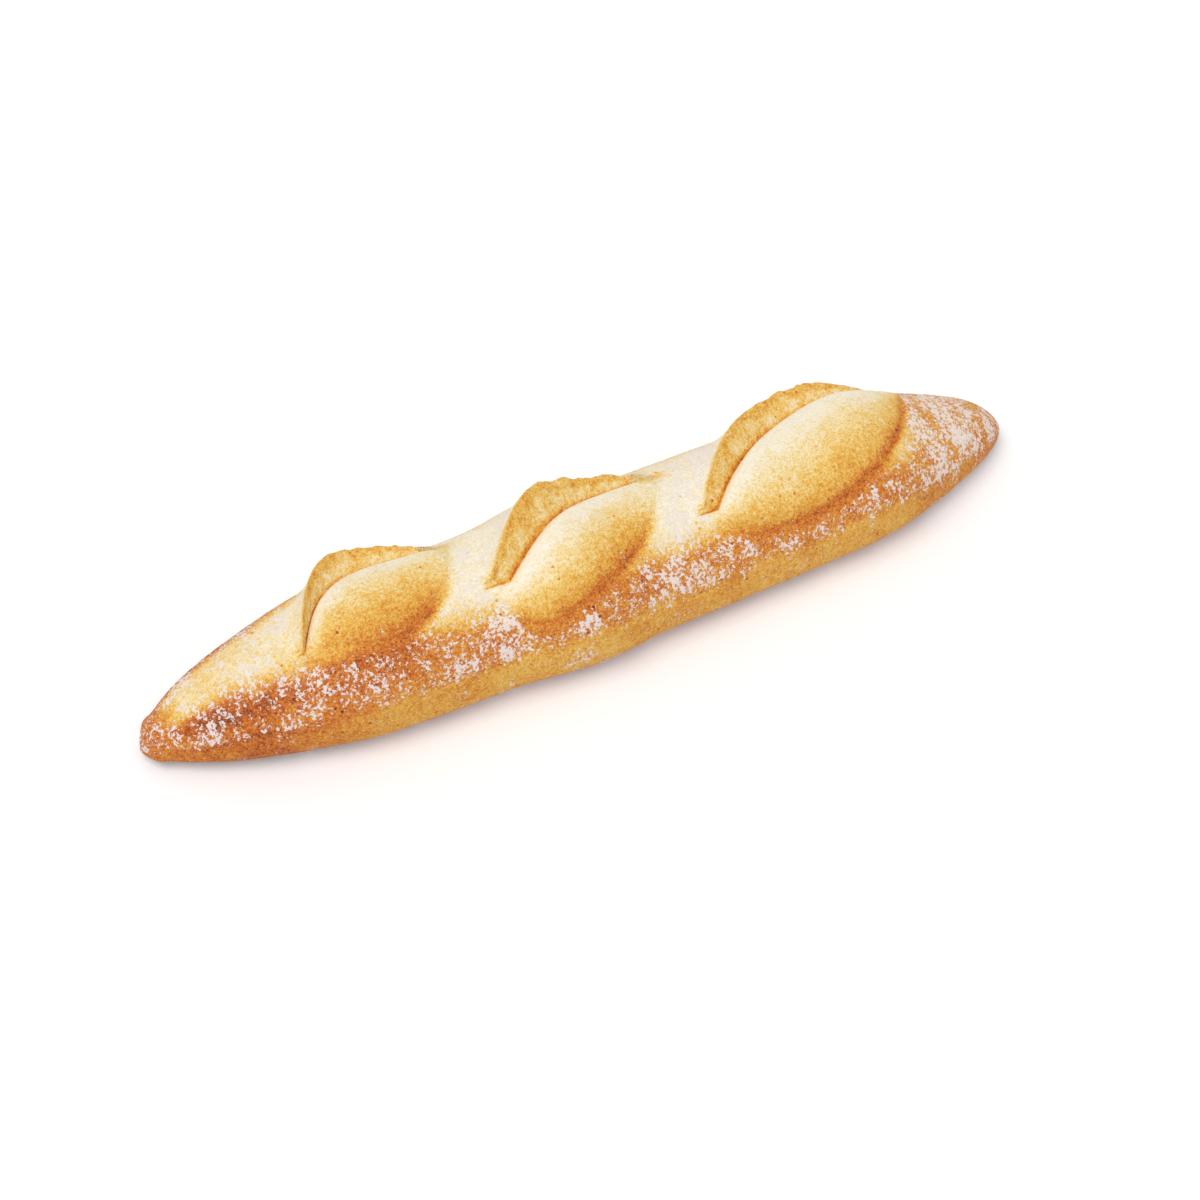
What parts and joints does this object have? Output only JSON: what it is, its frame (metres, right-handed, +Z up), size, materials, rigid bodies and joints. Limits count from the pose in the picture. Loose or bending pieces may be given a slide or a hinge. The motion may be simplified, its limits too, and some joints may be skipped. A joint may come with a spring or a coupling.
{
  "type": "baguette",
  "caption": "Short crusty white loaf with tapered ends, slanting slashes along its top that opened into bulges with raised ears, and a flat sole to rest on.",
  "frame": {"origin": "on the flat sole, under the middle of the loaf's bounding box", "axes": "+X along the loaf towards its blunter end, +Z up, -Y the side on which the slashes start"},
  "size_m": [0.32, 0.0622, 0.049],
  "materials": {
    "crust": "dull golden-brown baked crust, dusted with white flour"
  },
  "bodies": {
    "root": {"loaf": "crust"}
  },
  "joints": []
}
